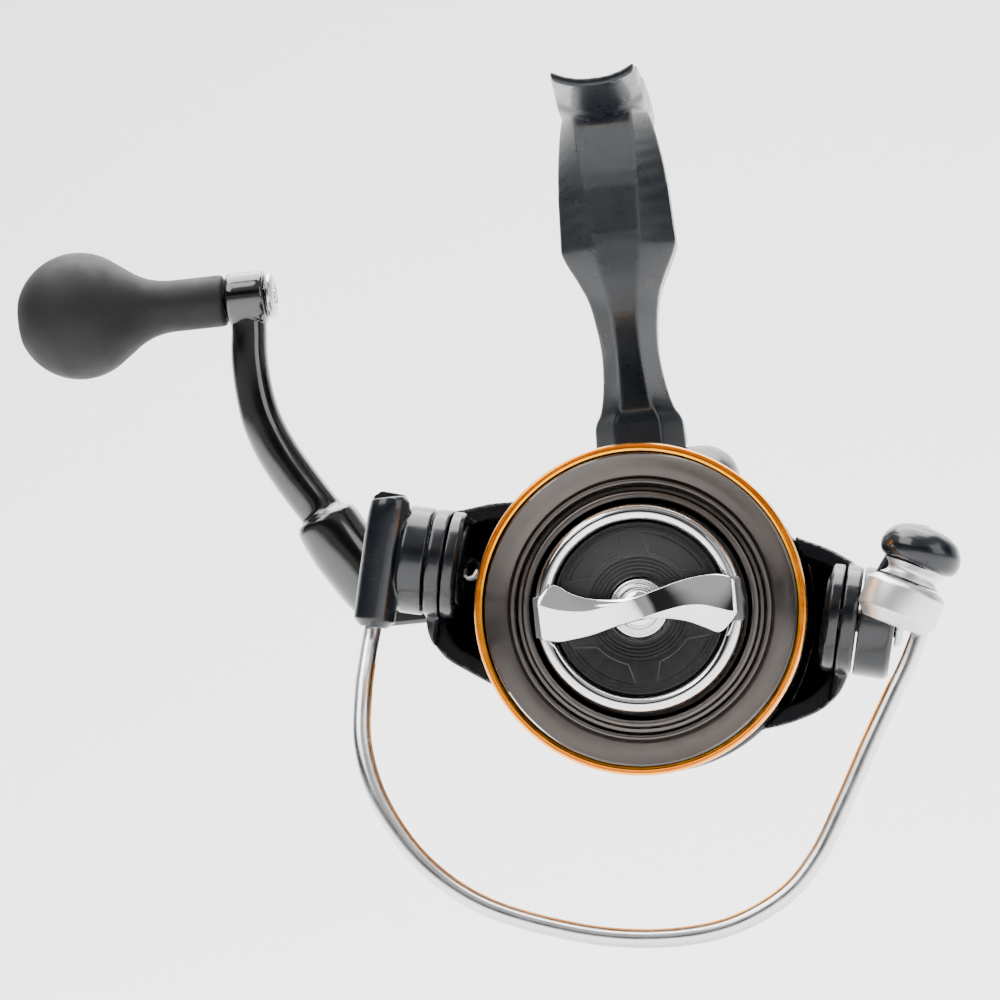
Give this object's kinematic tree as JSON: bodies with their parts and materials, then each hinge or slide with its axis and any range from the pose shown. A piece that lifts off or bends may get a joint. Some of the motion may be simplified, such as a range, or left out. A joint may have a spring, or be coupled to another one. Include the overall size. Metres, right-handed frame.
{
  "type": "spinning reel",
  "caption": "Front-drag spinning fishing reel with folding crank, ball knob, wire bail and a saddle foot, built as separate working pieces.",
  "frame": {"origin": "centre of the foot's rod seat, on its flat middle strip", "axes": "+Z out of the rod seat; the spool faces -Y and the crank is on the -X side"},
  "size_m": [0.1701, 0.1062, 0.1517],
  "materials": {
    "body_black": "satin blue-black moulded plastic",
    "rotor_black": "glossy blue-black moulded plastic",
    "dark_plastic": "satin black plastic with turned grooves",
    "crank_black": "gloss black paint on cast aluminium",
    "knob_black": "matte soft-touch black",
    "gunmetal": "turned and anodised gunmetal",
    "gold_anodised": "bright orange-gold anodising",
    "chrome": "polished chrome plating",
    "bright_aluminium": "bright turned and satin drawn metal",
    "steel": "turned stainless steel",
    "brass": "machined brass",
    "felt": "greased felt"
  },
  "bodies": {
    "body": {"body_housing": "body_black", "side_cover": "body_black", "cover_screw_1": "steel", "cover_screw_2": "steel", "cover_screw_3": "steel", "guide_rod": "steel", "one_way_clutch": "steel", "pinion_bearing": "steel", "clutch_retainer": "steel", "drive_bearing_left": "steel", "drive_bearing_right": "steel", "oscillation_axle": "steel"},
    "drive": {"drive_gear": "brass", "drive_shaft": "steel", "oscillation_drive_gear": "brass", "handle_screw_cap": "rotor_black", "handle_hub": "crank_black", "fold_pin": "steel"},
    "crank": {"handle_arm": "crank_black", "knob_axle": "steel"},
    "knob": {"handle_knob": "knob_black"},
    "rotor": {"rotor": "rotor_black", "arm_cover_left": "rotor_black", "arm_cover_right": "rotor_black", "bail_pivot_screw_left": "steel", "bail_pivot_screw_right": "steel", "rotor_nut": "steel", "pinion_gear": "brass", "bail_spring": "steel"},
    "kick": {"kick_lever": "steel"},
    "oscillation": {"oscillation_gear": "brass"},
    "shaft": {"main_shaft": "steel", "oscillation_slider": "brass", "drag_washer_metal_1": "steel", "drag_washer_metal_2": "steel"},
    "spool": {"spool": "gunmetal", "spool_lip_ring": "gold_anodised", "click_gear": "steel", "drag_washer_felt_1": "felt", "drag_washer_felt_2": "felt", "washer_clip": "steel"},
    "drag_knob": {"drag_knob_base": "dark_plastic", "drag_knob_ring": "chrome", "drag_knob_bar": "chrome", "drag_knob_hub": "chrome", "drag_nut": "steel", "drag_spring": "steel"},
    "bail": {"bail_arm": "rotor_black", "bail_holder": "rotor_black", "bail_wire": "bright_aluminium", "roller_bush": "brass", "roller_screw": "steel"},
    "line_roller": {"line_roller": "bright_aluminium"},
    "anti_reverse": {"anti_reverse_lever": "dark_plastic"}
  },
  "joints": [
    {"name": "handle_crank", "type": "hinge", "parent": "body", "child": "drive", "pos_m": [0, 0.02, -0.084], "axis": [-1, 0, 0], "continuous": true},
    {"name": "handle_fold", "type": "hinge", "parent": "drive", "child": "crank", "pos_m": [-0.041, 0.02, -0.084], "axis": [0, -1, 0], "range_deg": [0, 100]},
    {"name": "knob_spin", "type": "hinge", "parent": "crank", "child": "knob", "pos_m": [-0.0722, 0.02, -0.025], "axis": [-1, 0, 0], "continuous": true},
    {"name": "rotor_spin", "type": "hinge", "parent": "body", "child": "rotor", "pos_m": [0, 0, -0.093], "axis": [0, -1, 0], "continuous": true},
    {"name": "oscillation_spin", "type": "hinge", "parent": "body", "child": "oscillation", "pos_m": [0, 0.02845, -0.09864], "axis": [-1, 0, 0], "continuous": true},
    {"name": "spool_stroke", "type": "slide", "parent": "body", "child": "shaft", "axis": [0, -1, 0], "range_m": [-0.007, 0.007]},
    {"name": "spool_drag", "type": "hinge", "parent": "shaft", "child": "spool", "pos_m": [0, -0.035, -0.093], "axis": [0, -1, 0], "continuous": true},
    {"name": "drag_knob_turn", "type": "hinge", "parent": "shaft", "child": "drag_knob", "pos_m": [0, -0.05, -0.093], "axis": [0, -1, 0], "range_deg": [-540, 90]},
    {"name": "bail_flip", "type": "hinge", "parent": "rotor", "child": "bail", "pos_m": [0.00079, -0.028, -0.08969], "axis": [-0.9724, 0, 0.2334], "range_deg": [0, 110]},
    {"name": "kick_lever_swing", "type": "hinge", "parent": "rotor", "child": "kick", "pos_m": [0.0322, -0.0124, -0.09723], "axis": [-0.9724, 0, 0.2334], "range_deg": [0, 5]},
    {"name": "line_roller_spin", "type": "hinge", "parent": "bail", "child": "line_roller", "pos_m": [0.04373, -0.045, -0.09589], "axis": [0.454, 0, 0.891], "continuous": true},
    {"name": "anti_reverse_switch", "type": "hinge", "parent": "body", "child": "anti_reverse", "pos_m": [-0.004, 0.03, -0.115], "axis": [0, 0, 1], "range_deg": [-20, 20]}
  ],
  "couplings": [
    {"joint": "rotor_spin", "follows": "handle_crank", "ratio": 5.1429},
    {"joint": "oscillation_spin", "follows": "handle_crank", "ratio": -0.5},
    {"joint": "kick_lever_swing", "follows": "bail_flip", "ratio": 0.04}
  ]
}
